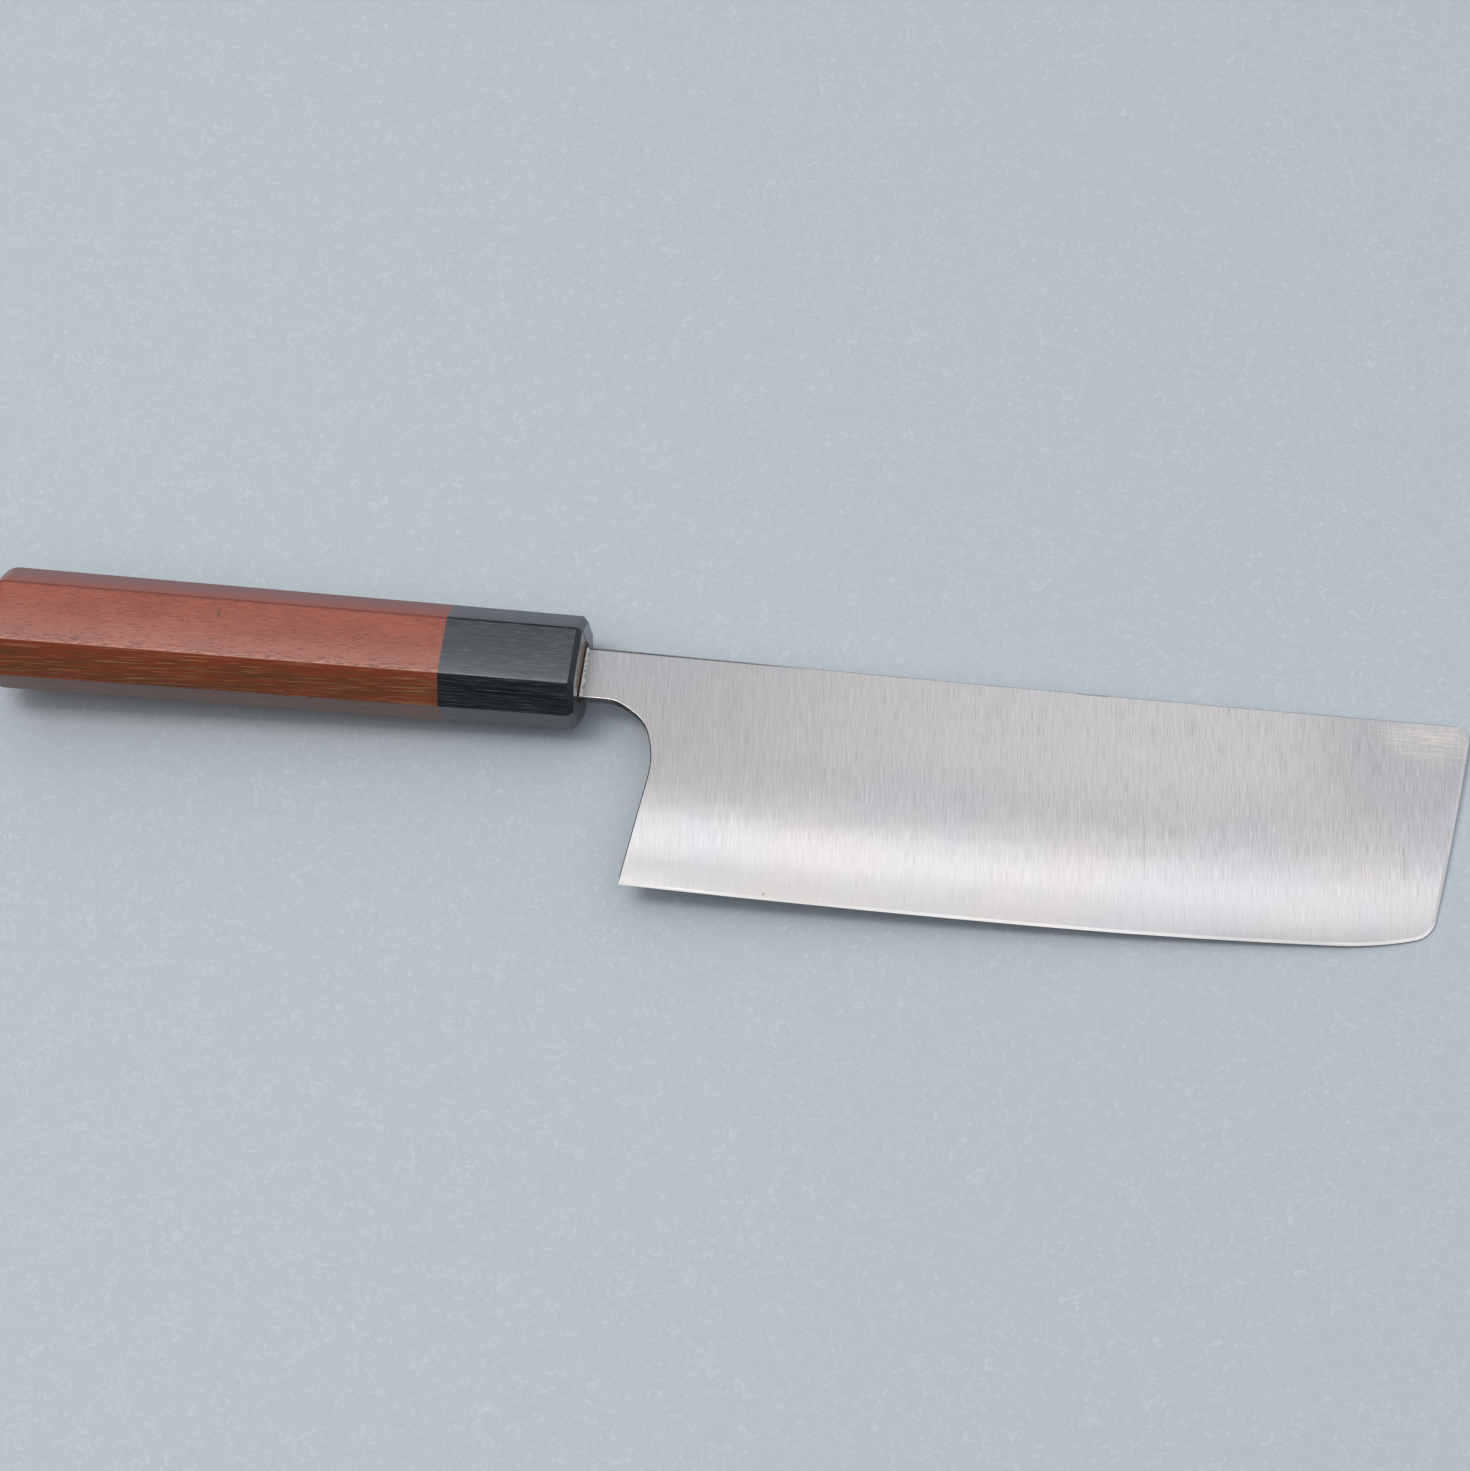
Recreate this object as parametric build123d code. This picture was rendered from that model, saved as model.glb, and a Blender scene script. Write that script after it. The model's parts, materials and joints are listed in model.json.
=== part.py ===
from build123d import *
import math
import os

# Nakiri knife with an octagonal wooden handle, lying on its side as it does on a worktop.
# It is drawn in the knife's own frame: X along the handle's axis towards the tip, Y from edge
# to spine, Z through the blade's thickness, with the origin on the axis at the ferrule's front
# face. The last step tips it onto the three points that it really rests on.

# Handle, ferrule included: an octagon that grows thicker from the ferrule to the butt
handle_length = 129.0
ferrule_length = 28.7
front_height = 22.9
ferrule_wall = 2.15
front_corner = 5.2
butt_height = 25.3
butt_thickness = 18.7
butt_corner = 5.9
butt_round = 4.5
front_chamfer = 1.1
arris_radius = 0.4

# Dowel that joins ferrule and handle and grips the tang
dowel_length = 64.0
dowel_wall = 0.65
dowel_recess = 0.15
dowel_chamfer = 0.8
dowel_end_gap = 1.0
glue_gap = 0.05

# Blade outline
edge_length = 165.0
heel_gap = 14.2
heel_drop = 46.25
heel_lean = 2.85
choil_drop = 22.5
neck_run = 4.7
neck_top = 5.6
neck_bottom = 5.95
belly_share = 0.52
belly_drop = 1.0
sweep_share = 0.884
sweep_rise = 1.5
lift_share = 0.962
lift_rise = 3.3
tip_rise = 5.0
low_corner_run = 3.6
low_corner_rise = 3.1
tip_overhang = 3.9
tip_bulge = 0.25
tip_top_radius = 3.7
spine_fall = 2.0
spine_hollow = 0.3

# Blade thickness and grind
spine_at_neck = 2.6
spine_at_tip = 1.5
edge_thickness = 0.3
edge_land = 0.1
bevel_width = 0.65
eased_edge = 0.3

# Tang, hidden in the handle, and the drilled hole that takes its end
neck_seat = 4.0
tang_length = 92.0
tang_root_height = 10.0
tang_root_thickness = 2.2
tang_end_height = 5.5
tang_end_thickness = 1.7
tang_end_round_share = 0.35
slot_clearance = 0.15
pilot_extra = 3.0
drill_point_angle = 118.0

# Sections that shape the rounded butt
butt_steps = 4

# How far a cutting or trimmed form runs past what it trims
overrun = 1.0

# Choil: shares of its reach in front of the neck run, and of its depth below the neck
choil_shares = [(0.93, 0.49), (0.73, 0.23), (0.49, 0.11)]

# Flank: control points of its curve, as shares of the height from spine to edge and of the
# half thickness at the spine
flank_shares = [(0, 1.0), (0.5, 1.0), (0.78, 0.84)]

# Blade's end: shares of its height, from the low corner up, that the worktop touches between
rest_shares = (0.24, 0.34)

dowel_diameter = 2 * (max(neck_top, neck_bottom) + slot_clearance + dowel_wall)
front_thickness = dowel_diameter + 2 * ferrule_wall
dowel_end = -dowel_recess - dowel_length

spine_tip_x = heel_gap + edge_length + tip_overhang
heel = Vector(heel_gap, -heel_drop)
belly = heel + Vector(belly_share * edge_length, -belly_drop)
sweep_up = heel + Vector(sweep_share * edge_length, sweep_rise - belly_drop)
lift = heel + Vector(lift_share * edge_length, lift_rise - belly_drop)
low_tip = heel + Vector(edge_length, tip_rise - belly_drop)


def spine_y(x):
    """Height of the spine over the handle's axis."""
    share = x / spine_tip_x
    return neck_top - spine_fall * share - 4 * spine_hollow * share * (1 - share)


def eased_octagon(x, inset):
    """Handle's section at x, moved in by inset all round, with its eight arrises eased."""
    share = -x / handle_length
    height = front_height + (butt_height - front_height) * share - 2 * inset
    thickness = front_thickness + (butt_thickness - front_thickness) * share - 2 * inset
    corner = front_corner + (butt_corner - front_corner) * share - (2 - math.sqrt(2)) * inset
    octagon = chamfer(Rectangle(height, thickness).vertices(), corner)
    return Plane.YZ.offset(x) * fillet(octagon.vertices(), arris_radius)


def round_bar(diameter, start, end):
    """Round bar along the handle's axis, from start back to end."""
    return extrude(Plane.YZ.offset(start) * Circle(diameter / 2), end - start)


def tang_size(x):
    """Height and thickness of the tang at x."""
    share = (-neck_seat - x) / (tang_length - neck_seat)
    height = tang_root_height + (tang_end_height - tang_root_height) * share
    thickness = tang_root_thickness + (tang_end_thickness - tang_root_thickness) * share
    return height, thickness


def tang_form(gap):
    """Tapered tang with a rounded end, grown by gap all round where it is cut as a slot."""
    sections = []
    for x in (-neck_seat + overrun, -tang_length - gap):
        height, thickness = tang_size(x)
        sections.append(Plane.YZ.offset(x) * Rectangle(height + 2 * gap, thickness + 2 * gap))
    tang = loft(sections, ruled=True)
    corners = tang.faces().sort_by(Axis.X)[0].edges().filter_by(Axis.Z)
    return fillet(corners, tang_end_round_share * tang_end_height)


def make_ferrule():
    """Black octagonal ferrule, bored right through, with a chamfered front."""
    profiles = [eased_octagon(-ferrule_length, 0), eased_octagon(-front_chamfer, 0),
                eased_octagon(0, front_chamfer)]
    bore = round_bar(dowel_diameter + 2 * glue_gap, overrun, -ferrule_length - overrun)
    return loft(profiles, ruled=True) - bore


def make_handle_body():
    """Wooden octagon with a rounded butt, bored for the dowel and drilled on for the tang's end."""
    round_start = butt_round - handle_length
    grip = loft([eased_octagon(-ferrule_length, 0), eased_octagon(round_start, 0)], ruled=True)
    butt_profiles = []
    for step in range(butt_steps + 1):
        turn = math.pi / 2 * step / butt_steps
        inset = butt_round * (1 - math.cos(turn))
        butt_profiles.append(eased_octagon(round_start - butt_round * math.sin(turn), inset))
    butt = loft(butt_profiles)
    bore_end = dowel_end - dowel_end_gap
    bore = round_bar(dowel_diameter + 2 * glue_gap, -ferrule_length + overrun, bore_end)
    pilot_diameter = math.hypot(*tang_size(bore_end)) + 2 * slot_clearance
    pilot_end = -tang_length - pilot_extra
    pilot = round_bar(pilot_diameter, bore_end + overrun, pilot_end)
    point_length = pilot_diameter / 2 / math.tan(math.radians(drill_point_angle / 2))
    point_middle = Plane(origin=(pilot_end - point_length / 2, 0, 0), z_dir=(-1, 0, 0))
    point = point_middle * Cone(pilot_diameter / 2, 0, point_length)
    return grip + butt - bore - pilot - point


def make_dowel():
    """Round dowel that fills the bores, slotted for the neck and the tang."""
    dowel = round_bar(dowel_diameter, -dowel_recess, dowel_end)
    dowel = chamfer(dowel.edges().sort_by(Axis.X)[0], dowel_chamfer)
    mouth_middle = (neck_top - neck_bottom) / 2
    mouth = Rectangle(neck_top + neck_bottom + 2 * slot_clearance, spine_at_neck + 2 * slot_clearance)
    neck_slot = extrude(Plane.YZ * Pos(mouth_middle, 0) * mouth, -neck_seat - slot_clearance)
    return dowel - neck_slot - tang_form(slot_clearance)


def edge_arcs():
    """Edge from the heel to where it lifts towards the tip: three arcs, each tangent to the next."""
    rear = TangentArc(belly, heel, tangent=(-1, 0))
    front = TangentArc(belly, sweep_up, tangent=(1, 0))
    rise = TangentArc(sweep_up, lift, tangent=front % 1)
    return [rear, front, rise]


def make_outline():
    """Blade and neck seen from the side. It clears the spine, which the ground section shapes."""
    back_x = -neck_seat
    above_spine = neck_top + overrun
    spine_end = Vector(spine_tip_x - tip_top_radius, spine_y(spine_tip_x - tip_top_radius))
    end_top = Vector(spine_tip_x, spine_end.Y - tip_top_radius)
    end_run = (end_top - low_tip).normalized()
    corner_start = low_tip - (low_tip - lift).normalized() * low_corner_run
    corner_end = low_tip + end_run * low_corner_rise
    tip_run = Line(lift, corner_start)
    low_corner = TangentArc(corner_start, corner_end, tangent=tip_run % 1)
    tip_end = ThreePointArc(corner_end, (corner_end + end_top) / 2 + Vector(tip_bulge, 0), end_top)
    top_corner = TangentArc(end_top, spine_end, tangent=tip_end % 1)
    choil_low = heel + Vector(heel_lean, heel_drop - choil_drop)
    heel_line = Line(heel, choil_low)
    reach = choil_low.X - neck_run
    depth = choil_drop - neck_bottom
    choil_points = [(neck_run + along * reach, -neck_bottom - down * depth) for along, down in choil_shares]
    choil = Spline(choil_low, *choil_points, (neck_run, -neck_bottom), tangents=[heel_line % 1, (-1, 0)])
    back = Polyline((neck_run, -neck_bottom), (back_x, -neck_bottom), (back_x, above_spine),
                    (spine_end.X, above_spine), spine_end)
    tip = [tip_run, low_corner, tip_end, top_corner]
    return make_face(Wire([*edge_arcs(), *tip, *back.edges(), choil, heel_line]))


def flank_section(x, edge_y):
    """Ground section across the blade at x: eased spine, two convex flanks and a thin edge."""
    flank_top = spine_y(x) - eased_edge
    height = flank_top - edge_y
    half_spine = (spine_at_neck + (spine_at_tip - spine_at_neck) * x / spine_tip_x) / 2
    half_edge = edge_thickness / 2
    flank = [(flank_top - down * height, thick * half_spine) for down, thick in flank_shares]
    slope = (flank[-1][1] - half_edge) / (flank[-1][0] - edge_y)
    flank.append((edge_y - overrun, half_edge - slope * overrun))
    back = [(y, -z) for y, z in reversed(flank)]
    crown = [back[-1], (spine_y(x), eased_edge - half_spine), (spine_y(x), half_spine - eased_edge), flank[0]]
    sides = [Bezier(*flank), Line(flank[-1], back[0]), Bezier(*back), *Polyline(*crown).edges()]
    return Plane.YZ.offset(x) * make_face(Wire(sides))


def make_ground():
    """Blank with the distal taper and the convex flanks, larger than the outline all round."""
    rear, front, rise = edge_arcs()
    spacing = (belly.X - heel.X) / 2
    tip_run = low_tip - lift
    past_tip = low_tip + tip_run * ((tip_overhang + overrun) / tip_run.X)
    stations = [heel - Vector(spacing, 0), heel, rear @ (1 / 2), belly, front @ (1 / 2), sweep_up, lift, past_tip]
    return loft([flank_section(station.X, station.Y) for station in stations])


def flanks(blade):
    """The two broad ground faces, the lower one first."""
    return blade.faces().sort_by(SortBy.AREA)[-2:].sort_by(Axis.Z)


def make_blade():
    """Ground blade with neck and tang: eased choil, and a fine bevel along the edge and round the tip."""
    blade = make_ground() & extrude(make_outline(), spine_at_neck, both=True)
    for side in (0, -1):
        choil = []
        for edge in flanks(blade)[side].edges():
            middle = edge @ (1 / 2)
            below_neck = -neck_seat / 2 < middle.X < heel_gap + heel_lean and middle.Y < 0
            if below_neck and abs(middle.Z) > edge_thickness:
                choil.append(edge)
        blade = chamfer(choil, eased_edge)
    for side in (0, -1):
        flank = flanks(blade)[side]
        edge_arris = [edge for edge in flank.edges() if abs((edge @ (1 / 2)).Z) < edge_thickness]
        blade = chamfer(edge_arris, bevel_width, (edge_thickness - edge_land) / 2, reference=flank)
    return blade + tang_form(0)


def worktop_under(blade):
    """Plane that the knife lies on: it touches the ferrule's lower corner and the blade's end."""
    ferrule_rim = eased_octagon(-front_chamfer, 0).vertices()
    ferrule_corner = Vector(ferrule_rim.sort_by(Axis.Z)[:2].sort_by(Axis.Y)[0])
    blade_end = flanks(blade)[0].edges().sort_by(Axis.X)[-2:].sort_by(SortBy.LENGTH)[-1]
    from_low = (blade_end @ 0).Y < (blade_end @ 1).Y
    low_touch, high_touch = [blade_end @ (share if from_low else 1 - share) for share in rest_shares]
    upward = (low_touch - ferrule_corner).cross(high_touch - ferrule_corner)
    return Plane(origin=ferrule_corner, x_dir=(1, 0, 0), z_dir=upward)


knife_blade = make_blade()
knife = {
    "blade": knife_blade,
    "tang_dowel": make_dowel(),
    "ferrule": make_ferrule(),
    "handle_body": make_handle_body(),
}

worktop = worktop_under(knife_blade)
laid = {name: worktop.to_local_coords(piece) for name, piece in knife.items()}
middle = Compound(list(laid.values())).bounding_box().center()

os.makedirs("parts", exist_ok=True)
for name, piece in laid.items():
    export_step(Pos(-middle.X, -middle.Y, 0) * piece, f"parts/{name}.step")
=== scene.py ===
import bpy
import json
import math
from mathutils import Euler, Matrix, Vector


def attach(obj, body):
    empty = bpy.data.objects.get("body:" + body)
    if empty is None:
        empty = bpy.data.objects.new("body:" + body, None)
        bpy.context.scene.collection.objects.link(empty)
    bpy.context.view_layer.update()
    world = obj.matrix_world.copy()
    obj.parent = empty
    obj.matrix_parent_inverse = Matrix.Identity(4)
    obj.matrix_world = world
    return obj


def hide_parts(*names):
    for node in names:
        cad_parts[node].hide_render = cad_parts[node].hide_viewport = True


# Nakiri knife lying on its side on a pale blue-grey worktop, in soft daylight from the back left.
# The CAD nodes keep their shapes. This file gives them their finishes, puts a smoother copy of
# the blade in its node's place, adds the resin at the neck, and makes the stage and the light.

mm = 0.001

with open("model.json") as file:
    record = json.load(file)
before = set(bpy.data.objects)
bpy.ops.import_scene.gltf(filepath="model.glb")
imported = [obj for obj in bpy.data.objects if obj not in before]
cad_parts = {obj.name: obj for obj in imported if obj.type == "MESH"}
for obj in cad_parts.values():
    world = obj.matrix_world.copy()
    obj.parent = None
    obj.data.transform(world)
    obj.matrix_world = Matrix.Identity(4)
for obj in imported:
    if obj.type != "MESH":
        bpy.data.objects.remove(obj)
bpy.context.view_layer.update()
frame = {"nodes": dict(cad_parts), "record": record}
nodes = frame["nodes"]
bpy.ops.object.select_all(action="DESELECT")
print("frame loaded:", ", ".join(sorted(nodes)))

# The knife lies slightly nose-down. Its own axes come from the two flat faces in the record:
# x along the handle to the tip, y from edge to spine, z through the blade's thickness.
mounts = {mount["name"]: mount for mount in frame["record"]["mounts"]}
buttEnd = Vector(mounts["butt_end"]["pos_m"])
ferruleFront = Vector(mounts["ferrule_front"]["pos_m"])
knifeX = Vector(mounts["ferrule_front"]["axis"]).normalized()
handleLength = (ferruleFront - buttEnd).dot(knifeX)
knifeOrigin = buttEnd + knifeX * handleLength   # on the handle's axis, at the ferrule's front face
knifeY = (ferruleFront - knifeOrigin).normalized()
knifeZ = knifeX.cross(knifeY)
knifeTurn = Matrix((knifeX, knifeY, knifeZ)).transposed().to_euler()


# sRGB hex to the linear numbers that the sockets take
def linearColour(hexColour):
    channels = [int(hexColour[i:i + 2], 16) / 255 for i in (1, 3, 5)]
    linear = [c / 12.92 if c <= 0.04045 else ((c + 0.055) / 1.055) ** 2.4 for c in channels]
    return (*linear, 1)


# A socket takes a number, a vector, a "#rrggbb" colour, another socket, or a node, which stands
# for its first output in use
def setInputs(tree, node, inputs):
    for socket, value in inputs.items():
        if isinstance(value, bpy.types.Node):
            value = next(output for output in value.outputs if output.enabled)
        if isinstance(value, bpy.types.NodeSocket):
            tree.links.new(value, node.inputs[socket])
        else:
            node.inputs[socket].default_value = linearColour(value) if isinstance(value, str) else value


def addNode(tree, kind, inputs=None, **settings):
    node = tree.nodes.new(kind)
    for name, value in settings.items():
        setattr(node, name, value)
    setInputs(tree, node, inputs or {})
    return node


def newMaterial(name):
    material = bpy.data.materials.new(name)
    material.use_nodes = True
    return material, material.node_tree, material.node_tree.nodes["Principled BSDF"]


camera = {
    "lens": 110.13,               # mm, on the default 36 mm sensor
    "target": (6.3, 7.13, 5.0),   # mm
    "distance": 932.4,
    "azimuth": 26.786,            # degrees
    "elevation": 63.283,
    "roll": -20.58,
    "clip": (0.01, 20),           # m
}


def makeCamera():
    data = bpy.data.cameras.new("camera")
    data.lens = camera["lens"]
    data.clip_start, data.clip_end = camera["clip"]
    eye = bpy.data.objects.new("camera", data)
    bpy.context.collection.objects.link(eye)
    azimuth, elevation = math.radians(camera["azimuth"]), math.radians(camera["elevation"])
    flat = math.cos(elevation)
    back = Vector((math.sin(azimuth) * flat, -math.cos(azimuth) * flat, math.sin(elevation)))
    look = Euler((math.pi / 2 - elevation, 0, azimuth)).to_matrix()
    look = look @ Matrix.Rotation(math.radians(camera["roll"]), 3, "Z")
    eye.matrix_world = look.to_4x4()
    eye.location = Vector(camera["target"]) * mm + back * camera["distance"] * mm
    bpy.context.scene.camera = eye


makeCamera()
print("camera placed")


surface = {
    "size": 6.0,                  # m across, so that it fills every view
    "colour": "#bbc5ce",
    "paleColour": "#c7d0d8",
    "marks": 2.6,                 # mm, the length of the faint marks that a paint roller leaves
    "markLevels": (0.52, 0.68),   # of the noise, between which they come in
    "markShape": {"Detail": 4, "Roughness": 0.6, "Distortion": 2.5},
    "roughness": 0.62,
}


def makeStage():
    bpy.ops.mesh.primitive_plane_add(size=surface["size"], location=(0, 0, 0))
    floor = bpy.context.object
    floor.name = "worktop"
    # Rolled satin paint: even and pale, with faint marks that show only from near by.
    material, tree, shader = newMaterial("paintedWorktop")
    marks = addNode(tree, "ShaderNodeTexNoise", {
        "Vector": addNode(tree, "ShaderNodeTexCoord").outputs["Object"],
        "Scale": 1 / (surface["marks"] * mm), **surface["markShape"]})
    low, high = surface["markLevels"]
    share = addNode(tree, "ShaderNodeMapRange", {"Value": marks, "From Min": low, "From Max": high})
    paint = addNode(tree, "ShaderNodeMix", {
        "Factor": share, 6: surface["colour"], 7: surface["paleColour"]}, data_type="RGBA")
    setInputs(tree, shader, {"Base Color": paint, "Roughness": surface["roughness"]})
    floor.data.materials.append(material)
    floor.select_set(False)


makeStage()


light = {
    "skyColour": "#f1f4f6",
    "skyLean": (0.15, 0.25, 0.95),   # the brightest part of the sky, nearly overhead
    "skyTurn": (0.1, 0.85),          # cosines from that part, between which the sky goes dim
    "skyDim": 0.1,
    "skyBright": 1.0,
    # sizes and places in mm, turn in degrees
    "overhead": {"size": (560, 300), "place": (-380, 40, 1180), "turn": 0, "watts": 4.0, "colour": "#fff9f2"},
    "strip": {"size": (1200, 90), "place": (-300, 335, 1280), "turn": 9, "watts": 0.4, "colour": "#ffffff"},
}


def makeLamp(name, settings):
    lamp = bpy.data.lights.new(name, "AREA")
    lamp.shape = "RECTANGLE"
    lamp.size, lamp.size_y = (side * mm for side in settings["size"])
    lamp.energy = settings["watts"]
    lamp.color = linearColour(settings["colour"])[:3]
    holder = bpy.data.objects.new(name, lamp)
    bpy.context.collection.objects.link(holder)
    place = Vector(settings["place"]) * mm
    down = place.normalized()
    across = Matrix.Rotation(math.radians(settings["turn"]), 3, down) @ Vector((0, 1, 0))
    wide = across.cross(down).normalized()
    holder.matrix_world = Matrix((wide, down.cross(wide), down)).transposed().to_4x4()
    holder.location = place


def makeLight():
    world = bpy.data.worlds.new("studio")
    bpy.context.scene.world = world
    world.use_nodes = True
    tree = world.node_tree
    direction = addNode(tree, "ShaderNodeTexCoord").outputs["Generated"]
    lean = addNode(tree, "ShaderNodeVectorMath", {
        0: direction, 1: Vector(light["skyLean"]).normalized()}, operation="DOT_PRODUCT")
    low, high = light["skyTurn"]
    strength = addNode(tree, "ShaderNodeMapRange", {
        "Value": lean, "From Min": low, "From Max": high,
        "To Min": light["skyDim"], "To Max": light["skyBright"]}, interpolation_type="SMOOTHSTEP")
    setInputs(tree, tree.nodes["Background"], {"Color": light["skyColour"], "Strength": strength})
    makeLamp("overheadLight", light["overhead"])
    makeLamp("stripLight", light["strip"])


makeLight()
bpy.context.scene.view_settings.view_transform = "Standard"
print("stage and light made")


# Object coordinates turned into the knife's own axes, in millimetres
def knifePlace(tree):
    return addNode(tree, "ShaderNodeMapping", {
        "Vector": addNode(tree, "ShaderNodeTexCoord").outputs["Object"],
        "Location": knifeOrigin, "Rotation": knifeTurn, "Scale": (mm, mm, mm)}, vector_type="TEXTURE")


# Noises drawn out along the knife's axes, each from its size in mm along x, y and z and its detail
def drawnOut(tree, place, table, roughness=0.55):
    patterns = {}
    for name, (size, detail) in table.items():
        spread = addNode(tree, "ShaderNodeVectorMath", {
            0: place, 1: [1 / side for side in size]}, operation="MULTIPLY")
        patterns[name] = addNode(tree, "ShaderNodeTexNoise", {
            "Vector": spread, "Scale": 1, "Detail": detail, "Roughness": roughness})
    return patterns


# How squarely the surface faces along one of the knife's axes, from -1 to 1
def facing(tree, axis):
    normal = addNode(tree, "ShaderNodeNewGeometry").outputs["Normal"]
    return addNode(tree, "ShaderNodeVectorMath", {0: normal, 1: axis}, operation="DOT_PRODUCT")


# Share that is 1 where each value has passed its range, from low to high, and fades across it
def overlap(tree, ranges, fade="SMOOTHSTEP"):
    share = 1
    for value, (low, high) in ranges:
        share = addNode(tree, "ShaderNodeMapRange", {
            "Value": value, "From Min": low, "From Max": high, "To Max": share}, interpolation_type=fade)
    return share


# Share that is 1 inside a box with soft sides, in the plane of the blade
def patch(tree, place, middle, half, soft):
    offset = addNode(tree, "ShaderNodeVectorMath", {0: place, 1: (*middle, 0)}, operation="SUBTRACT")
    away = addNode(tree, "ShaderNodeVectorMath", {0: offset}, operation="ABSOLUTE")
    sides = addNode(tree, "ShaderNodeSeparateXYZ", {0: away}).outputs
    return overlap(tree, [(sides[side], (reach + soft, reach - soft)) for side, reach in zip("XY", half)])


# Lays tones over a colour, one after the other. Each names a pattern, the two levels of it between
# which the tone comes in, its strength (a number, or a pattern that rules it) and its colour.
def layTones(tree, colour, tones, patterns):
    for name, (low, high), strength, tone in tones:
        share = addNode(tree, "ShaderNodeMapRange", {
            "Value": patterns[name], "From Min": low, "From Max": high,
            "To Max": patterns.get(strength, strength)}, interpolation_type="SMOOTHSTEP")
        colour = addNode(tree, "ShaderNodeMix", {"Factor": share, 6: colour, 7: tone}, data_type="RGBA")
    return colour


# One relief from several patterns, each with its height in mm
def makeRelief(tree, heights, patterns):
    total = 0
    for name, height in heights.items():
        total = addNode(tree, "ShaderNodeMath", {0: patterns[name], 1: height, 2: total},
                        operation="MULTIPLY_ADD")
    return addNode(tree, "ShaderNodeBump", {"Height": total, "Strength": 1, "Distance": mm})


handle = {
    "arris": 6.25,           # mm from the axis to the arrises of the broad faces, at the front
    "arrisSpread": 0.0039,   # what they move out for each mm towards the butt
    "shoulder": 1.1,         # mm, how wide the sanding has softened the broad faces beside them
}


# Patterns that follow the handle's eight facets, for the wood and for the ferrule
def facetPatterns(tree, place):
    square = addNode(tree, "ShaderNodeMath", {0: facing(tree, knifeZ)}, operation="ABSOLUTE")
    patterns = {"square": square, "edgeways": facing(tree, knifeY)}
    # mm from the axis towards each arris of the broad faces
    for name, side in (("nearArris", -1), ("farArris", 1)):
        level = addNode(tree, "ShaderNodeVectorMath", {
            0: place, 1: (handle["arrisSpread"], side, 0)}, operation="DOT_PRODUCT")
        patterns[name] = level
        patterns[name + "Shoulder"] = addNode(tree, "ShaderNodeMapRange", {
            "Value": level, "From Min": handle["arris"] - handle["shoulder"], "From Max": handle["arris"]},
            interpolation_type="SMOOTHSTEP")
    # the way across a facet from its middle, squared: hand sanding leaves each a little crowned
    normal = addNode(tree, "ShaderNodeNewGeometry").outputs["True Normal"]
    across = addNode(tree, "ShaderNodeVectorMath", {0: normal, 1: knifeX}, operation="CROSS_PRODUCT")
    offset = addNode(tree, "ShaderNodeVectorMath", {
        0: addNode(tree, "ShaderNodeTexCoord").outputs["Object"], 1: knifeOrigin}, operation="SUBTRACT")
    way = addNode(tree, "ShaderNodeVectorMath", {0: offset, 1: across}, operation="DOT_PRODUCT")
    share = addNode(tree, "ShaderNodeMath", {0: way, 1: handle["arris"] * mm}, operation="DIVIDE")
    patterns["crown"] = addNode(tree, "ShaderNodeMath", {0: share, 1: 2}, operation="POWER")
    return patterns


rosewood = {
    "slope": -2.0,                  # degrees that the grain runs off the handle's axis
    "grain": {                      # mm along and across the grain, and the noise's detail
        "cloud": ((16, 5, 5), 3),
        "fleck": ((2.2, 0.3, 0.3), 2),
        "figure": ((26, 1.6, 1.6), 3),
        "fibre": ((14, 0.24, 0.24), 4),                 # real fibres are finer than this, and wouldn't show
        "streaks": ((22, 0.2, 0.2), 3),
        "pores": ((2.2, 0.24, 0.24), 1),
    },
    "broad": "#924028",             # the broad faces, cut along the growth rings
    "broadTones": (
        ("cloud", (0.35, 0.65), 1, "#9e4b34"),
        ("fleck", (0.5, 0.72), 0.35, "#b3705c"),
        ("fleck", (0.5, 0.3), 0.25, "#74301f"),
        ("farArris", (5.6, 6.0), 0.85, "#6c230f"),      # a painted shade line along the far arris
        ("nearArris", (4.8, 6.3), 0.6, "#c07c68"),      # paler beside the arris: a painted highlight, with some rubbed wear
        # paler flecks there too, for the same painted highlight and wear
        ("fleck", (0.5, 0.66), "rubbedAndHighlit", "#c98f7c"),
    ),
    "heartAndShade": "#8a3917",             # the browner heartwood on the side of the edge, also painted darker than the broad faces as shade
    "heartAndShadeTones": (
        ("figure", (0.42, 0.6), 1, "#74371a"),
        ("fibre", (0.46, 0.62), 0.9, "#5f3c1d"),
        ("nearArris", (8.4, 6.6), 0.75, "#8c3413"),     # redder beside the arris
        ("streaks", (0.56, 0.65), 0.65, "#a97f55"),
        ("edgeways", (-0.8, -0.97), 0.45, "#4a2a1c"),   # the narrow side, painted darker still as shade
    ),
    "slant": "#74301f",             # the facets on the side of the spine, painted darker than the broad faces as shade
    "slantShadedRed": ((10.6, 6.6), "#8c3008"),   # redder towards the arris, where the facet takes less sheen: painted shading
    "slantLevels": (-0.25, -0.6),   # of facing the edge, between which the heartwood begins
    "broadLevels": (0.74, 0.97),    # of facing squarely up or down, where the broad faces begin
    "rubbedAndHighlit": ((5.0, 6.2), 0.8),    # mm towards the near arris, and how much: a painted highlight, with some wear
    "poreTone": "#3a1c17",
    "poreLevels": (0.66, 0.565),    # of the noise, away from the near arris and beside it
    "poreArris": (4.4, 5.6),        # mm towards the near arris, between these two
    "poreEdge": 0.05,               # how softly a pore begins
    "poreStrength": 0.65,
    "knot": ((-77.4, 2.9), (0.3, 0.75), 0.45),   # a pin knot on the upper side
    "heights": {                    # mm
        "nearArrisShoulder": -0.06,
        "farArrisShoulder": -0.02,
        "crown": -0.6,
        "pore": -0.02,
        "fleck": 0.006,
    },
    "roughness": (0.34, 0.48),
    "coat": 0.5,
    "coatRoughness": 0.2,
}
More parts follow.
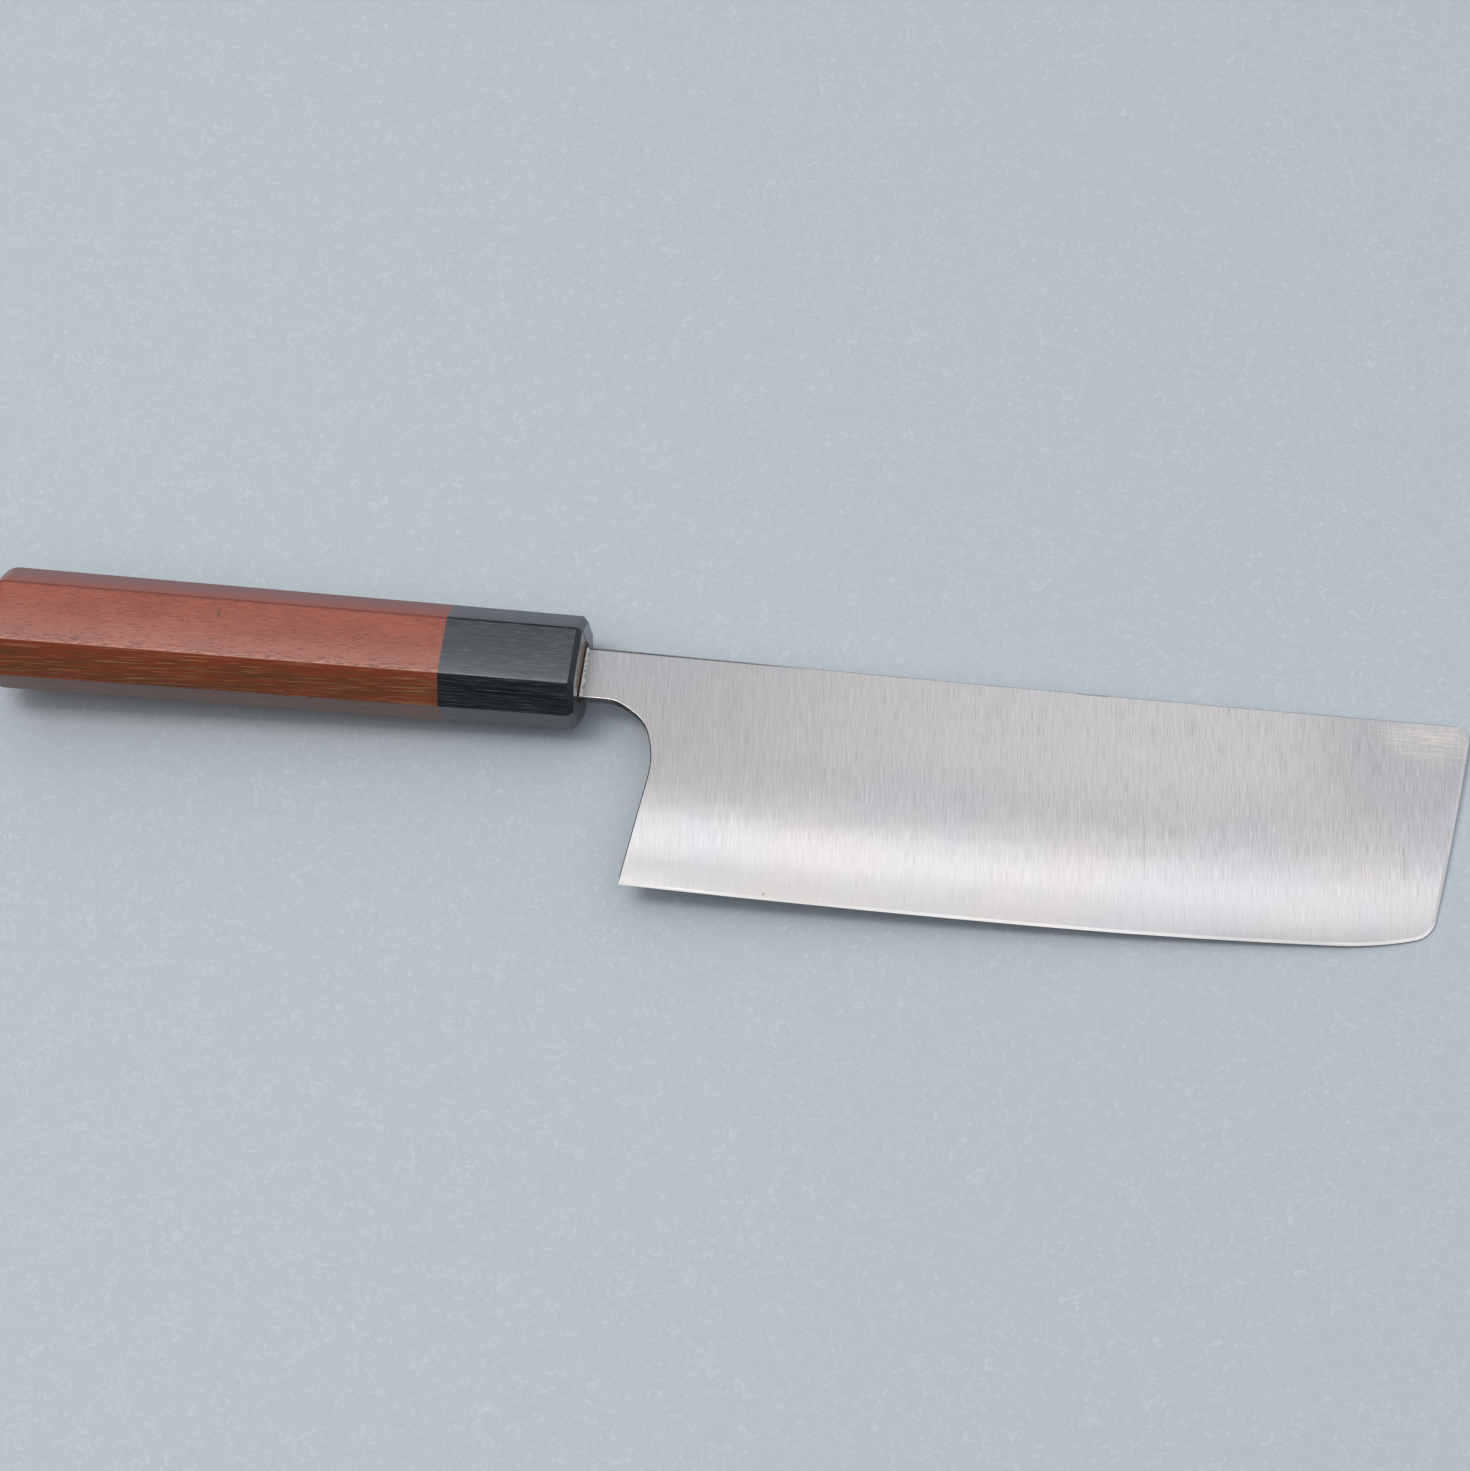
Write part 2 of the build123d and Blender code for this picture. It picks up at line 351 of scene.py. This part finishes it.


# Oiled rosewood: warm red-brown with short dark pores along the grain and a rubbed soft sheen,
# with a browner, streaked heartwood on the side of the edge.
# The slanted and narrow facets are painted darker as shade; the arrises carry a painted highlight and a
# painted shade line.
def makeRosewood():
    material, tree, shader = newMaterial("oiledRosewood")
    place = knifePlace(tree)
    patterns = facetPatterns(tree, place)
    grain = addNode(tree, "ShaderNodeMapping", {
        "Vector": place, "Rotation": (0, 0, math.radians(rosewood["slope"]))})
    patterns.update(drawnOut(tree, grain, rosewood["grain"]))
    (low, high), strength = rosewood["rubbedAndHighlit"]
    patterns["rubbedAndHighlit"] = addNode(tree, "ShaderNodeMapRange", {
        "Value": patterns["nearArris"], "From Min": low, "From Max": high, "To Max": strength})
    few, many = rosewood["poreLevels"]
    low, high = rosewood["poreArris"]
    level = addNode(tree, "ShaderNodeMapRange", {
        "Value": patterns["nearArris"], "From Min": low, "From Max": high, "To Min": few, "To Max": many})
    over = addNode(tree, "ShaderNodeMath", {0: patterns["pores"], 1: level}, operation="SUBTRACT")
    flat = addNode(tree, "ShaderNodeMath", {0: patterns["square"], 1: rosewood["broadLevels"][1]},
                   operation="GREATER_THAN")
    patterns["pore"] = addNode(tree, "ShaderNodeMapRange", {
        "Value": over, "From Max": rosewood["poreEdge"], "To Max": flat}, interpolation_type="SMOOTHSTEP")
    upper = addNode(tree, "ShaderNodeMath", {
        0: facing(tree, knifeZ), 1: rosewood["broadLevels"][1]}, operation="GREATER_THAN")
    patterns["knot"] = addNode(tree, "ShaderNodeMath", {
        0: patch(tree, place, *rosewood["knot"]), 1: upper}, operation="MULTIPLY")

    broad = layTones(tree, rosewood["broad"], rosewood["broadTones"], patterns)
    heartAndShade = layTones(tree, rosewood["heartAndShade"], rosewood["heartAndShadeTones"], patterns)
    wood = layTones(tree, rosewood["slant"], (
        ("farArris", rosewood["slantShadedRed"][0], 1, rosewood["slantShadedRed"][1]),
        ("edgeways", rosewood["slantLevels"], 1, heartAndShade),
        ("square", rosewood["broadLevels"], 1, broad),
        ("pore", (0, 1), rosewood["poreStrength"], rosewood["poreTone"]),
        ("knot", (0, 1), rosewood["poreStrength"], rosewood["poreTone"])), patterns)
    low, high = rosewood["roughness"]
    rough = addNode(tree, "ShaderNodeMapRange", {"Value": patterns["fibre"], "To Min": low, "To Max": high})
    setInputs(tree, shader, {
        "Base Color": wood, "Roughness": rough, "Coat Weight": rosewood["coat"],
        "Coat Roughness": rosewood["coatRoughness"],
        "Normal": makeRelief(tree, rosewood["heights"], patterns)})
    return material


pakkawood = {
    "grain": {                   # mm along and across: the veneers, drawn coarser than they are
        "layers": ((22, 0.26, 0.26), 3),
        "dashes": ((8, 0.15, 0.15), 3),
        "mottle": ((3.2, 0.45, 0.45), 3),
    },
    "black": "#0f1318",
    "tones": (
        ("farArris", (6.2, 4.8), 0.9, "#272b30"),    # the broad faces painted a little paler, all but a painted shade line along the far arris
        ("nearArris", (5.2, 6.3), 0.6, "#70757a"),   # and paler beside the near arris: a painted highlight, with some wear
        ("mottle", (0.5, 0.66), 0.3, "#6a7077"),     # cloudy where the sanding cut the resin
        ("mottle", (0.48, 0.36), 0.3, "#1c2025"),
        ("square", (0.97, 0.8), 1, "#11151b"),
        ("layers", (0.5, 0.62), 0.25, "#424950"),
        ("layers", (0.5, 0.4), 0.25, "#0a0d11"),
        ("dashes", (0.55, 0.64), "nearSide", "#565c63"),   # open grain on the side of the edge
        ("layers", (0.55, 0.43), "nearSide", "#020304"),
    ),
    "nearSide": (-0.3, -0.6),    # of facing the edge
    "heights": {                 # mm
        "nearArrisShoulder": -0.06,
        "farArrisShoulder": -0.1,
        "crown": -0.5,
        "layers": 0.012,
        "dashes": 0.008,
    },
    "roughness": (0.26, 0.5),
    "roughLevels": (0.3, 0.7),   # of the dashes, between these two
    "sheen": "#e2eaf6",
    "dullLine": ((5.85, 6.1), (6.7, 6.45)),   # mm, a dull line along the far arris
    "dulled": 0.25,              # the share of the gloss that is left there
    "specular": 0.5,
    "coat": 0.8,
    "coatRoughness": 0.18,
}


# Black pakkawood: thin veneers pressed in dyed resin, nearly black, polished, with fine paler
# lines along the grain.
def makePakkawood():
    material, tree, shader = newMaterial("blackPakkawood")
    place = knifePlace(tree)
    patterns = facetPatterns(tree, place)
    patterns.update(drawnOut(tree, place, pakkawood["grain"]))
    low, high = pakkawood["nearSide"]
    patterns["nearSide"] = addNode(tree, "ShaderNodeMapRange", {
        "Value": patterns["edgeways"], "From Min": low, "From Max": high})
    black = layTones(tree, pakkawood["black"], pakkawood["tones"], patterns)
    (few, many), (low, high) = pakkawood["roughLevels"], pakkawood["roughness"]
    rough = addNode(tree, "ShaderNodeMapRange", {
        "Value": patterns["dashes"], "From Min": few, "From Max": many, "To Min": low, "To Max": high})
    dull = overlap(tree, [(patterns["farArris"], levels) for levels in pakkawood["dullLine"]], "LINEAR")
    gloss = {}
    for name in ("specular", "coat"):
        gloss[name] = addNode(tree, "ShaderNodeMapRange", {
            "Value": dull, "To Min": pakkawood[name], "To Max": pakkawood[name] * pakkawood["dulled"]})
    setInputs(tree, shader, {
        "Base Color": black, "Roughness": rough,
        "Specular IOR Level": gloss["specular"], "Specular Tint": pakkawood["sheen"],
        "Coat Weight": gloss["coat"], "Coat Roughness": pakkawood["coatRoughness"],
        "Normal": makeRelief(tree, pakkawood["heights"], patterns)})
    return material


dowelWood = {
    "grain": {"fibre": ((20, 0.4, 0.4), 3)},   # mm
    "pale": "#a3948a",
    "tones": (
        ("depth", (5.4, 1.8), 0.9, "#6f4f3f"),   # mm above the tang's middle: painted shade of the slot, brown and then dark beside the tang
        ("depth", (2.4, 1.3), 0.6, "#3c261f"),
        ("rings", (0.2, 0.9), 0.35, "#7a6456"),
        ("fibre", (0.5, 0.7), 0.4, "#5a4034"),
    ),
    "rings": 0.9,   # mm between the growth rings on its end
    "ringShape": {"Distortion": 3, "Detail": 2, "Detail Scale": 0.4},
    "roughness": 0.6,
}


# Unfinished softwood dowel: pale end grain, darkened beside the tang's slot by painted shade.
def makeDowelWood():
    material, tree, shader = newMaterial("rawSoftwood")
    place = knifePlace(tree)
    sides = addNode(tree, "ShaderNodeSeparateXYZ", {0: place})
    waveLength = math.tau / 20     # of Blender's wave texture at scale 1
    patterns = {
        "depth": addNode(tree, "ShaderNodeMath", {0: sides.outputs["Z"]}, operation="ABSOLUTE"),
        "rings": addNode(tree, "ShaderNodeTexWave", {
            "Vector": place, "Scale": waveLength / dowelWood["rings"], **dowelWood["ringShape"]},
            wave_type="BANDS", bands_direction="Z").outputs["Fac"],
    }
    patterns.update(drawnOut(tree, place, dowelWood["grain"]))
    tone = layTones(tree, dowelWood["pale"], dowelWood["tones"], patterns)
    setInputs(tree, shader, {"Base Color": tone, "Roughness": dowelWood["roughness"]})
    return material


steel = {
    "slant": -6.2,                        # degrees of the belt's scratches from square to the handle
    "belt": {                             # mm across the scratches and along them, and the noise's detail
        "hair": ((0.18, 4.5, 4.5), 3),                 # hairlines, drawn coarse enough to show
        "strokes": ((1.6, 26, 26), 2),
        "waves": ((30, 7, 30), 1),                     # the faint waves that hand grinding leaves
    },
    "other": {                            # the same along the knife and across it
        "tint": ((38, 38, 38), 2),
        "ragged": ((0.5, 0.5, 0.5), 2),
        "crossLines": ((4, 0.17, 0.17), 2),
    },
    "cool": "#c1c0c3",
    "tones": (
        ("tint", (0.42, 0.6), 1, "#c5c0bf"),
        ("along", (75, 10), 0.12, "#8c8e92"),          # mm, a little duller towards the handle
        ("along", (0, 115), "upper", "#e5dfde"),       # and brighter towards the tip
        ("along", (140, 168), "upper", "#a8a8b0"),
        ("hair", (0.5, 0.7), "satin", "#9b9a9a"),
        ("hair", (0.5, 0.3), "satin", "#e4e1df"),
        ("strokes", (0.45, 0.7), 0.06, "#9b9a9a"),
        ("deepScratch", (0, 1), 0.4, "#5c5d60"),
        ("lowTip", (0, 1), 0.4, "#8f8d90"),
        ("crossPatch", (0, 1), 0.55, "#efe5da"),
        ("crossLines", (0.48, 0.64), "crossPatch", "#f8efe6"),
        ("nick", (0, 1), 0.6, "#5a5450"),
        # a painted dark line below the spine, for the eased spine edge's reflection of the dim side
        ("spineLine", (0, 1), 0.95, "#33383c"),
        # a painted white glint where the neck leaves the handle
        ("neckPaintedGlint", (0, 1), 1, "#ffffff"),
        ("square", (0.99, 0.97), 0.6, "#f7f6f4"),      # the honed bevel and the eased edges, paler: their polish and a painted highlight
        ("square", (0.6, 0.35), "choil", "#34383c"),   # the narrow faces, painted dark for their reflection of the dim surroundings
        # the eased choil edges that face the handle, painted darker still for its dark reflection
        ("endways", (-0.05, -0.3), "choil", "#2a2e31"),
    ),
    "heights": {"waves": 0.012, "hair": 0.0005},   # mm
    "roughness": (0.2, 0.26),
    "anisotropy": 1.0,
    "deepScratches": (((120.3, -28.3), 14.0), ((172.4, -27.5), 7.0)),   # middle, length
    "scratchWidth": 0.08,                 # mm, each side of its middle
    "crossPatch": ((175.0, 0.4), (8.5, 3.6), 6.0),   # sanded along the blade: middle, half sides, softness
    "crossStrength": 0.6,
    "satin": ((-38, -26), 0.13),          # mm, above which the hairlines show more, and how much below it
    "satinAlong": ((20, 140), (0.28, 0.42)),   # mm from the handle, and how much they show there
    "upper": ((-27, -9), 0.5),            # mm, where the blade is brighter towards the tip, and how much
    "nick": ((44.5, -45.6), (0.22, 0.22), 0.15),   # a dark speck beside the edge
    "choil": ((26, 19), 0.85),            # mm from the handle, where the painted dark on the narrow faces ends, and how dark
    "spineLine": (5.6, -0.63, 0.8),       # mm up from the axis, its fall in degrees, its width in mm, of the painted dark line below the spine
    "spineLineEnd": (52, 38),             # mm from the handle, where it fades
    "spineMark": ((106.4, 4.4), (3.3, 3.0), 0.5),   # a short piece more of that line
    "lowTip": ((112, 150), (-39, -50)),   # mm, duller towards the tip and towards the edge
    "neckPaintedGlint": 0.55,                    # mm out of the handle, where the painted glint ends
    "neckRagged": 2.2,                    # mm, how unevenly
    "neckFade": 0.15,                     # mm, how softly
}


# A place in the plane of the blade, turned so that the belt's scratches run along Y
def turnedPlace(place, degrees):
    turned = Matrix.Rotation(math.radians(degrees), 2) @ Vector(place)
    return turned.x, turned.y


# Stainless steel ground on a belt: satin, with straight fine scratches from spine to edge that
# spread a light sideways and keep it narrow the other way.
def makeSteel():
    material, tree, shader = newMaterial("brushedStainless")
    place = knifePlace(tree)
    belt = addNode(tree, "ShaderNodeMapping", {
        "Vector": place, "Rotation": (0, 0, math.radians(steel["slant"]))})
    sides = addNode(tree, "ShaderNodeSeparateXYZ", {0: place}).outputs
    patterns = {
        "square": addNode(tree, "ShaderNodeMath", {0: facing(tree, knifeZ)}, operation="ABSOLUTE"),
        "endways": facing(tree, knifeX),
        "along": sides["X"],
        "nick": patch(tree, place, *steel["nick"]),
    }
    for name, side in (("upper", "Y"), ("choil", "X")):
        (low, high), strength = steel[name]
        patterns[name] = addNode(tree, "ShaderNodeMapRange", {
            "Value": sides[side], "From Min": low, "From Max": high, "To Max": strength},
            interpolation_type="SMOOTHSTEP")
    (low, high), (less, more) = steel["satinAlong"]
    strong = addNode(tree, "ShaderNodeMapRange", {
        "Value": patterns["along"], "From Min": low, "From Max": high, "To Min": less, "To Max": more})
    (low, high), weak = steel["satin"]
    patterns["satin"] = addNode(tree, "ShaderNodeMapRange", {
        "Value": sides["Y"], "From Min": low, "From Max": high, "To Min": weak, "To Max": strong})
    patterns.update(drawnOut(tree, belt, steel["belt"]))
    patterns.update(drawnOut(tree, place, steel["other"]))
    scratches = 0
    for middle, length in steel["deepScratches"]:
        scratch = patch(tree, belt, turnedPlace(middle, steel["slant"]),
                        (steel["scratchWidth"], length / 2), steel["scratchWidth"] / 2)
        scratches = addNode(tree, "ShaderNodeMath", {0: scratch, 1: scratches}, operation="MAXIMUM")
    patterns["deepScratch"] = scratches
    patterns["crossPatch"] = addNode(tree, "ShaderNodeMath", {
        0: patch(tree, place, *steel["crossPatch"]), 1: steel["crossStrength"]}, operation="MULTIPLY")
    patterns["lowTip"] = overlap(tree, [(sides[side], reach) for side, reach in zip("XY", steel["lowTip"])])

    top, fall, width = steel["spineLine"]
    level = addNode(tree, "ShaderNodeMapping", {"Vector": place, "Rotation": (0, 0, -math.radians(fall))})
    height = addNode(tree, "ShaderNodeSeparateXYZ", {0: level}).outputs["Y"]
    low, high = steel["spineLineEnd"]
    near = addNode(tree, "ShaderNodeMapRange", {
        "Value": patterns["along"], "From Min": low, "From Max": high})
    lines = addNode(tree, "ShaderNodeMath", {
        0: near, 1: patch(tree, place, *steel["spineMark"])}, operation="MAXIMUM")
    patterns["spineLine"] = addNode(tree, "ShaderNodeMapRange", {
        "Value": height, "From Min": top - width, "From Max": top - width / 2, "To Max": lines})
    uneven = addNode(tree, "ShaderNodeMath", {
        0: patterns["ragged"], 1: steel["neckRagged"], 2: patterns["along"]}, operation="MULTIPLY_ADD")
    gleamEnd = steel["neckPaintedGlint"] + steel["neckRagged"] / 2
    patterns["neckPaintedGlint"] = addNode(tree, "ShaderNodeMapRange", {
        "Value": uneven, "From Min": gleamEnd + steel["neckFade"], "From Max": gleamEnd})

    tone = layTones(tree, steel["cool"], steel["tones"], patterns)
    low, high = steel["roughness"]
    rough = addNode(tree, "ShaderNodeMapRange", {"Value": patterns["hair"], "To Min": low, "To Max": high})
    tangent = addNode(tree, "ShaderNodeTangent", direction_type="UV_MAP", uv_map="alongBelt")
    setInputs(tree, shader, {
        "Base Color": tone, "Metallic": 1, "Roughness": rough, "Anisotropic": steel["anisotropy"],
        "Tangent": tangent, "Normal": makeRelief(tree, steel["heights"], patterns)})
    return material


outline = {
    "cuts": 3,                  # new points on each step of a curve
    "turn": (1.5, 20),          # degrees, the steps that belong to a curve and not to a corner
    "longestStep": 6.0,         # mm
    "outwards": 0.3,            # how far a corner must face out of the outline to count as its wall
    "easedFace": (0.3, 0.95),   # how far an eased edge faces up, between a wall and a flank
    "onePoint": 0.001,          # mm, points closer than this are merged
    "unmoved": 0.99999,         # a shorter mean of two directions belongs to a new point on a curve
    "flatSpot": ((9.3, -6.65), (13.6, -9.4)),   # mm, where the choil's curve runs nearly straight
    "flatReach": 0.5,           # mm, to each side of the line between its ends
    "fairing": 0.15,            # mm, how far its middle moves into the blade
}


def inBladePlane(vector):
    return vector - knifeZ * vector.dot(knifeZ)


# The CAD mesh goes round the choil in steps of several degrees. Its steps are marked here, each
# point with the way that the outline faces there and the radius of its curve.
def markCurves(mesh, normals):
    facingOut = [Vector() for vertex in mesh.vertices]
    for loop, normal in zip(mesh.loops, normals):
        outwards = inBladePlane(Vector(normal))
        if outwards.length > outline["outwards"]:
            facingOut[loop.vertex_index] += outwards.normalized()
    facingOut = [outwards.normalized() for outwards in facingOut]
    radii = [[] for vertex in mesh.vertices]
    low, high = (math.radians(angle) for angle in outline["turn"])
    for edge in mesh.edges:
        first, second = edge.vertices
        step = inBladePlane(mesh.vertices[second].co - mesh.vertices[first].co)
        turn = facingOut[second] - facingOut[first]
        edge.select = bool(facingOut[first].length and facingOut[second].length
                           and low < turn.length < high and 0 < step.length < outline["longestStep"] * mm)
        if edge.select:
            radius = math.copysign(step.length / turn.length, step.dot(turn))
            radii[first].append(radius)
            radii[second].append(radius)
    mesh.attributes.new("facingOut", "FLOAT_VECTOR", "POINT")
    mesh.attributes.new("curveRadius", "FLOAT", "POINT")
    for index, outwards in enumerate(facingOut):
        mesh.attributes["facingOut"].data[index].vector = outwards
        mesh.attributes["curveRadius"].data[index].value = sum(radii[index]) / max(len(radii[index]), 1)


# The eased edges of the choil are shaded as rounded: each takes its neighbours' directions
def easedNormals(mesh, normals):
    besides = {}
    low, high = outline["easedFace"]
    for loop, normal in zip(mesh.loops, normals):
        up = abs(Vector(normal).dot(knifeZ))
        if not low < up < high:
            besides.setdefault(loop.vertex_index, []).append((up, normal))
    eased = []
    for loop, normal in zip(mesh.loops, normals):
        up = abs(Vector(normal).dot(knifeZ))
        if low < up < high and loop.vertex_index in besides:
            normal = max(besides[loop.vertex_index])[1]
        eased.append(normal)
    return eased


# The choil's curve runs nearly straight for a few mm. This is how far a point there moves into the
# blade, most in the middle, so that the curve goes round evenly
def fairing(point):
    start, end = (knifeX * x * mm + knifeY * y * mm for x, y in outline["flatSpot"])
    chord = end - start
    into = knifeZ.cross(chord).normalized()
    offset = point - knifeOrigin - start
    share = offset.dot(chord) / chord.length_squared
    if not 0 < share < 1 or abs(offset.dot(into)) > outline["flatReach"] * mm:
        return Vector()
    return into * 4 * share * (1 - share) * outline["fairing"] * mm


# The blade's own shape again, merged, with rounder curves and with a map across and along the
# belt's scratches
def makeBlade():
    source = nodes["blade"]
    blade = source.copy()
    blade.data = source.data.copy()
    blade.parent = None
    blade.name = "groundBlade"
    bpy.context.collection.objects.link(blade)
    mesh = blade.data
    normals = [tuple(corner.vector) for corner in mesh.corner_normals]
    bpy.context.view_layer.objects.active = blade
    blade.select_set(True)
    bpy.ops.object.mode_set(mode="EDIT")
    bpy.ops.mesh.select_all(action="SELECT")
    bpy.ops.mesh.remove_doubles(threshold=outline["onePoint"] * mm)
    bpy.ops.mesh.select_all(action="DESELECT")
    bpy.ops.mesh.select_mode(type="EDGE")
    bpy.ops.object.mode_set(mode="OBJECT")
    normals = easedNormals(mesh, normals)
    kept = mesh.attributes.new("keptNormal", "FLOAT_VECTOR", "CORNER")
    for index, normal in enumerate(normals):
        kept.data[index].vector = normal
    markCurves(mesh, normals)
    bpy.ops.object.mode_set(mode="EDIT")
    bpy.ops.mesh.subdivide(number_cuts=outline["cuts"], ngon=False)
    bpy.ops.object.mode_set(mode="OBJECT")
    outwards = [item.vector.copy() for item in mesh.attributes["facingOut"].data]
    radii = [item.value for item in mesh.attributes["curveRadius"].data]
    for vertex, facingOut, radius in zip(mesh.vertices, outwards, radii):
        if 0 < facingOut.length < outline["unmoved"]:
            vertex.co += facingOut.normalized() * (1 - facingOut.length) * radius
        vertex.co += fairing(vertex.co)
    normals = [item.vector.normalized()[:] for item in mesh.attributes["keptNormal"].data]
    for name in ("facingOut", "curveRadius", "keptNormal"):
        mesh.attributes.remove(mesh.attributes[name])
    mesh.normals_split_custom_set(normals)
    uvMap = mesh.uv_layers.new(name="alongBelt")
    for loop in mesh.loops:
        place = mesh.vertices[loop.vertex_index].co - knifeOrigin
        uvMap.data[loop.index].uv = turnedPlace((place.dot(knifeX), place.dot(knifeY)), steel["slant"])
    mesh.materials.clear()
    mesh.materials.append(makeSteel())
    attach(blade, "root")
    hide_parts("blade")
    blade.select_set(False)
    print("blade outline:", len(mesh.vertices), "points")


makeBlade()
print("blade made")


seal = {
    "neck": (11.55, 2.6),         # mm, the neck's height and thickness where it leaves the handle
    "middle": (0.02, -0.175),     # mm along the knife, and from the handle's axis to the spine
    "length": 0.34,               # mm along the knife
    "thickness": 0.3,             # mm
    "outside": 0.6,               # how much of it lies outside the neck: 1 is all, 0 is half
    "rounding": (0.3, 2),         # of its corners, as a share of its thickness, and its steps
    "cuts": 15,
    "unevenness": 0.12,           # mm
    "lump": 1.3,                  # mm across
    "grain": {"lumps": ((0.65, 0.65, 0.65), 2)},
    "dark": "#2c1b17",
    "tones": (("lumps", (0.45, 0.7), 1, "#6d5348"),),
    "heights": {"lumps": 0.08},   # mm
    "roughness": 0.16,
}


# Burnt resin that seals the tang in its dowel: dark brown, glassy and uneven.
def makeResin():
    material, tree, shader = newMaterial("hardenedResin")
    place = knifePlace(tree)
    patterns = drawnOut(tree, place, seal["grain"])
    setInputs(tree, shader, {
        "Base Color": layTones(tree, seal["dark"], seal["tones"], patterns),
        "Roughness": seal["roughness"], "Normal": makeRelief(tree, seal["heights"], patterns)})
    return material


# A thin bead of resin round the neck: a tube with the neck's section, thickened and made uneven
def makeSeal():
    height, thickness = (side * mm for side in seal["neck"])
    bpy.ops.mesh.primitive_cube_add(size=1)
    bead = bpy.context.object
    bead.name = "tangSeal"
    bead.scale = (seal["length"] * mm, height, thickness)
    bpy.ops.object.transform_apply(location=False, rotation=False, scale=True)
    bpy.ops.object.mode_set(mode="EDIT")
    bpy.ops.mesh.select_all(action="DESELECT")
    bpy.ops.object.mode_set(mode="OBJECT")
    for face in bead.data.polygons:
        face.select = abs(face.normal.x) > 0.5   # its two ends
    bpy.ops.object.mode_set(mode="EDIT")
    bpy.ops.mesh.delete(type="FACE")
    bpy.ops.mesh.select_all(action="SELECT")
    bpy.ops.mesh.subdivide(number_cuts=seal["cuts"])
    bpy.ops.object.mode_set(mode="OBJECT")
    wall = bead.modifiers.new("wall", "SOLIDIFY")
    wall.thickness, wall.offset = seal["thickness"] * mm, seal["outside"]
    bpy.ops.object.modifier_apply(modifier=wall.name)
    rounded = bead.modifiers.new("rounded", "BEVEL")
    share, rounded.segments = seal["rounding"]
    rounded.width = seal["thickness"] * mm * share
    bpy.ops.object.modifier_apply(modifier=rounded.name)
    lumps = bpy.data.textures.new("resinLumps", "CLOUDS")
    lumps.noise_scale = seal["lump"] * mm
    uneven = bead.modifiers.new("uneven", "DISPLACE")
    uneven.texture, uneven.strength = lumps, seal["unevenness"] * mm
    bpy.ops.object.modifier_apply(modifier=uneven.name)
    bpy.ops.object.shade_smooth()
    along, up = (side * mm for side in seal["middle"])
    bead.location = knifeOrigin + knifeX * along + knifeY * up
    bead.rotation_euler = knifeTurn
    bpy.ops.object.transform_apply(location=True, rotation=True, scale=True)
    bead.data.materials.append(makeResin())
    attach(bead, "root")
    bead.select_set(False)


makeSeal()
print("resin seal made")


finishes = {"handle_body": makeRosewood, "ferrule": makePakkawood, "tang_dowel": makeDowelWood}


def finishWood():
    for name, make in finishes.items():
        nodes[name].material_slots[0].material = make()
        print(name, "finished")


finishWood()
